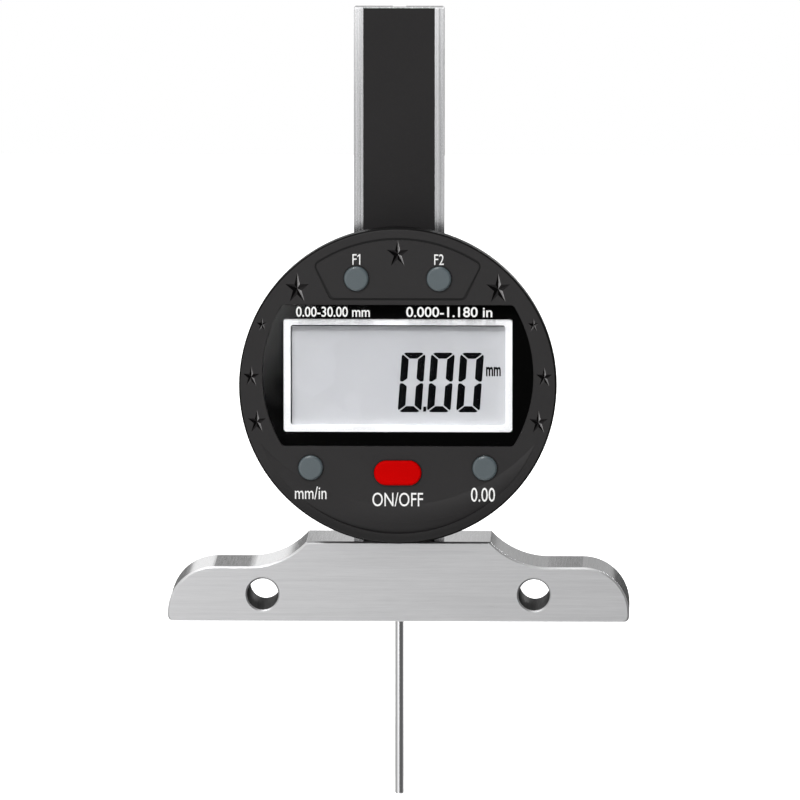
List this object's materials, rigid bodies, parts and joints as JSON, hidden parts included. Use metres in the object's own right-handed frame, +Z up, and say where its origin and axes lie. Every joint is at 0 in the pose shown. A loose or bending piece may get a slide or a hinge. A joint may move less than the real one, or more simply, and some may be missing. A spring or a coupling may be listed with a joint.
{
  "type": "digital depth gauge",
  "caption": "Digital depth gauge with a shouldered steel base, a flat beam, a round sliding display head with push buttons and a thin depth rod under the base.",
  "frame": {"origin": "centre of the measuring face under the base, on the depth rod's axis", "axes": "+Z up the beam away from the measuring face, +X along the base to the right as read, -Y out of the display towards the reader"},
  "size_m": [0.082, 0.0218, 0.141],
  "materials": {
    "base_steel": "fine horizontal grind, satin",
    "beam_steel": "lengthwise grind, satin",
    "rod_steel": "polished ground rod",
    "fastener_steel": "plated",
    "slider_steel": "satin",
    "gib_brass": "plain",
    "scale_board": "laminate",
    "scale_label": "fine grain, dark grey",
    "housing_plastic": "fine moulded texture",
    "window_clear": "polished clear plastic",
    "window_black": "printed black",
    "lcd_bezel": "bright white",
    "lcd_panel": "pale grey liquid crystal panel",
    "zebra_rubber": "striped elastomer",
    "board_laminate": "green solder mask",
    "component_black": "moulded",
    "switch_plastic": "moulded",
    "button_grey": "satin blue grey",
    "button_red": "satin red",
    "battery_can": "polished",
    "contact_metal": "plated spring strip",
    "seal_rubber": "plain"
  },
  "bodies": {
    "root": {"base": "base_steel", "beam": "beam_steel", "scale_strip": "scale_board", "scale_cover": "scale_label", "beam_screws": "fastener_steel", "end_stop": "beam_steel", "end_stop_screws": "fastener_steel"},
    "head": {"slider_frame": "slider_steel", "slider_back_plate": "slider_steel", "back_plate_screws": "fastener_steel", "gib_strip": "gib_brass", "gib_set_screws": "fastener_steel", "depth_rod": "rod_steel", "rod_anchor": "slider_steel", "rod_anchor_screw": "fastener_steel", "switch_bodies": "switch_plastic", "window": "window_clear", "window_mask": "window_black", "lcd_frame": "lcd_bezel", "lcd_glass": "lcd_panel", "zebra_strips": "zebra_rubber", "main_board": "board_laminate", "board_screws": "fastener_steel", "board_components": "component_black", "battery": "battery_can", "battery_contact_positive": "contact_metal", "battery_contact_negative": "contact_metal", "rear_cover": "housing_plastic", "housing_screws": "fastener_steel", "front_cover": "housing_plastic"},
    "set_button": {"set_button": "button_grey", "set_button_plunger": "switch_plastic"},
    "hold_button": {"hold_button": "button_grey", "hold_button_plunger": "switch_plastic"},
    "unit_button": {"unit_button": "button_grey", "unit_button_plunger": "switch_plastic"},
    "power_button": {"power_button": "button_red", "power_button_plunger": "switch_plastic"},
    "zero_button": {"zero_button": "button_grey", "zero_button_plunger": "switch_plastic"},
    "battery_cover": {"battery_cover": "housing_plastic", "battery_cover_seal": "seal_rubber"}
  },
  "joints": [
    {"name": "head_slide", "type": "slide", "parent": "root", "child": "head", "axis": [0, 0, 1], "range_m": [0, 0.032]},
    {"name": "set_button_press", "type": "slide", "parent": "head", "child": "set_button", "axis": [0, 1, 0], "range_m": [0, 0.0005], "stiffness_N_per_m": 1500, "springref_m": -0.0005},
    {"name": "hold_button_press", "type": "slide", "parent": "head", "child": "hold_button", "axis": [0, 1, 0], "range_m": [0, 0.0005], "stiffness_N_per_m": 1500, "springref_m": -0.0005},
    {"name": "unit_button_press", "type": "slide", "parent": "head", "child": "unit_button", "axis": [0, 1, 0], "range_m": [0, 0.0005], "stiffness_N_per_m": 1500, "springref_m": -0.0005},
    {"name": "power_button_press", "type": "slide", "parent": "head", "child": "power_button", "axis": [0, 1, 0], "range_m": [0, 0.0005], "stiffness_N_per_m": 1500, "springref_m": -0.0005},
    {"name": "zero_button_press", "type": "slide", "parent": "head", "child": "zero_button", "axis": [0, 1, 0], "range_m": [0, 0.0005], "stiffness_N_per_m": 1500, "springref_m": -0.0005},
    {"name": "battery_cover_turn", "type": "hinge", "parent": "head", "child": "battery_cover", "pos_m": [0, 0.0086, 0.0426], "axis": [0, 1, 0], "range_deg": [0, 50]}
  ]
}
